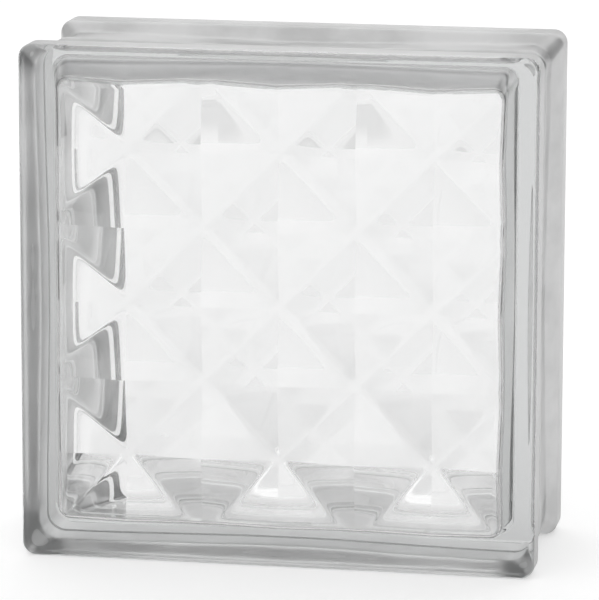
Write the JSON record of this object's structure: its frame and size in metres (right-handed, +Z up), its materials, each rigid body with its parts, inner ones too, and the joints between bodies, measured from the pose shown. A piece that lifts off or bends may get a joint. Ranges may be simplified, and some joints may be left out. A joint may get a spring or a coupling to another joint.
{
  "type": "glass block",
  "caption": "Square hollow clear glass wall block of two pressed halves welded at mid depth, with a mortar groove round its edge and a star relief inside its faces.",
  "frame": {"origin": "middle of the block's footprint, on the plane it stands on", "axes": "+Y from the front face to the back face, +Z up, +X to the right seen from the front"},
  "size_m": [0.19, 0.08, 0.19],
  "materials": {
    "clear_glass": "polished clear pressed glass, neutral with a very faint grey tint"
  },
  "bodies": {
    "root": {"front_half": "clear_glass", "back_half": "clear_glass"}
  },
  "joints": []
}
